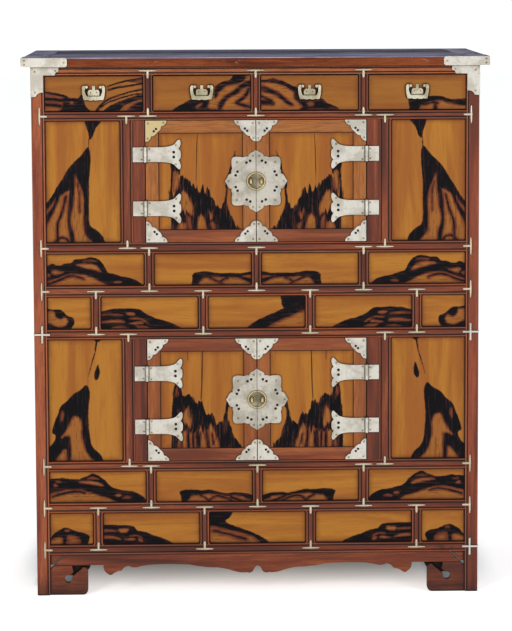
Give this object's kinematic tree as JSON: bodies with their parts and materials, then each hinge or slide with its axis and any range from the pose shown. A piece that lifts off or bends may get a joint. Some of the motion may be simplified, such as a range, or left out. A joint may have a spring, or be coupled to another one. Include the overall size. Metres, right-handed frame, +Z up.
{
  "type": "korean two tier chest",
  "caption": "Two tier chest on one frame, with paired hinged doors in each tier, a row of drawers with bail pulls, a panelled front and shaped feet.",
  "frame": {"origin": "on the floor under the middle of the whole object", "axes": "+Z up, +X to the right seen from the front, the front faces -Y"},
  "size_m": [1.1464, 0.568, 1.34],
  "materials": {
    "figured_wood": "oiled, black figure on golden brown",
    "frame_wood": "oiled red brown",
    "door_wood": "oiled red brown",
    "top_wood": "dark, polished",
    "inner_wood": "plain, unfinished",
    "white_brass": "pale white brass, satin"
  },
  "bodies": {
    "case": {"apron": "frame_wood", "back_boards": "inner_wood", "corner_brackets": "white_brass", "door_jambs": "frame_wood", "drawer_guides": "inner_wood", "flank_panels": "figured_wood", "floor_boards": "inner_wood", "foot_brackets": "frame_wood", "front_muntins": "frame_wood", "front_posts": "frame_wood", "front_rails": "frame_wood", "hinge_fixed_leaves": "white_brass", "hinge_pins": "white_brass", "rear_posts": "frame_wood", "row_panels": "figured_wood", "side_and_back_rails": "frame_wood", "side_panels": "frame_wood", "strap_fittings": "white_brass", "top_breadboard_ends": "top_wood", "top_planks": "top_wood"},
    "lower_left_door": {"lower_left_door_corner_plates": "white_brass", "lower_left_door_frame": "door_wood", "lower_left_door_hinge_leaves": "white_brass", "lower_left_door_lock_plate": "white_brass", "lower_left_door_lock_staple": "white_brass", "lower_left_door_panel": "figured_wood"},
    "lower_right_door": {"lower_right_door_corner_plates": "white_brass", "lower_right_door_frame": "door_wood", "lower_right_door_hinge_leaves": "white_brass", "lower_right_door_lock_plate": "white_brass", "lower_right_door_lock_staple": "white_brass", "lower_right_door_panel": "figured_wood"},
    "upper_left_door": {"upper_left_door_corner_plates": "white_brass", "upper_left_door_frame": "door_wood", "upper_left_door_hinge_leaves": "white_brass", "upper_left_door_lock_plate": "white_brass", "upper_left_door_lock_staple": "white_brass", "upper_left_door_panel": "figured_wood"},
    "upper_right_door": {"upper_right_door_corner_plates": "white_brass", "upper_right_door_frame": "door_wood", "upper_right_door_hinge_leaves": "white_brass", "upper_right_door_lock_plate": "white_brass", "upper_right_door_lock_staple": "white_brass", "upper_right_door_panel": "figured_wood"},
    "drawer_1": {"drawer_1_front": "figured_wood", "drawer_1_box": "inner_wood", "drawer_1_pull_plate": "white_brass"},
    "drawer_1_bail": {"drawer_1_bail": "white_brass"},
    "drawer_2": {"drawer_2_front": "figured_wood", "drawer_2_box": "inner_wood", "drawer_2_pull_plate": "white_brass"},
    "drawer_2_bail": {"drawer_2_bail": "white_brass"},
    "drawer_3": {"drawer_3_front": "figured_wood", "drawer_3_box": "inner_wood", "drawer_3_pull_plate": "white_brass"},
    "drawer_3_bail": {"drawer_3_bail": "white_brass"},
    "drawer_4": {"drawer_4_front": "figured_wood", "drawer_4_box": "inner_wood", "drawer_4_pull_plate": "white_brass"},
    "drawer_4_bail": {"drawer_4_bail": "white_brass"}
  },
  "joints": [
    {"name": "lower_left_door_hinge", "type": "hinge", "parent": "case", "child": "lower_left_door", "pos_m": [-0.272, -0.2643, 0.4915], "axis": [0, 0, -1], "range_deg": [0, 165]},
    {"name": "lower_right_door_hinge", "type": "hinge", "parent": "case", "child": "lower_right_door", "pos_m": [0.272, -0.2643, 0.4915], "axis": [0, 0, 1], "range_deg": [0, 165]},
    {"name": "upper_left_door_hinge", "type": "hinge", "parent": "case", "child": "upper_left_door", "pos_m": [-0.272, -0.2643, 1.035], "axis": [0, 0, -1], "range_deg": [0, 165]},
    {"name": "upper_right_door_hinge", "type": "hinge", "parent": "case", "child": "upper_right_door", "pos_m": [0.272, -0.2643, 1.035], "axis": [0, 0, 1], "range_deg": [0, 165]},
    {"name": "drawer_1_slide", "type": "slide", "parent": "case", "child": "drawer_1", "axis": [0, -1, 0], "range_m": [0, 0.3]},
    {"name": "drawer_1_bail_hinge", "type": "hinge", "parent": "drawer_1", "child": "drawer_1_bail", "pos_m": [-0.39675, -0.26305, 1.268], "axis": [-1, 0, 0], "range_deg": [0, 90]},
    {"name": "drawer_2_slide", "type": "slide", "parent": "case", "child": "drawer_2", "axis": [0, -1, 0], "range_m": [0, 0.3]},
    {"name": "drawer_2_bail_hinge", "type": "hinge", "parent": "drawer_2", "child": "drawer_2_bail", "pos_m": [-0.13225, -0.26305, 1.268], "axis": [-1, 0, 0], "range_deg": [0, 90]},
    {"name": "drawer_3_slide", "type": "slide", "parent": "case", "child": "drawer_3", "axis": [0, -1, 0], "range_m": [0, 0.3]},
    {"name": "drawer_3_bail_hinge", "type": "hinge", "parent": "drawer_3", "child": "drawer_3_bail", "pos_m": [0.13225, -0.26305, 1.268], "axis": [-1, 0, 0], "range_deg": [0, 90]},
    {"name": "drawer_4_slide", "type": "slide", "parent": "case", "child": "drawer_4", "axis": [0, -1, 0], "range_m": [0, 0.3]},
    {"name": "drawer_4_bail_hinge", "type": "hinge", "parent": "drawer_4", "child": "drawer_4_bail", "pos_m": [0.39675, -0.26305, 1.268], "axis": [-1, 0, 0], "range_deg": [0, 90]}
  ]
}
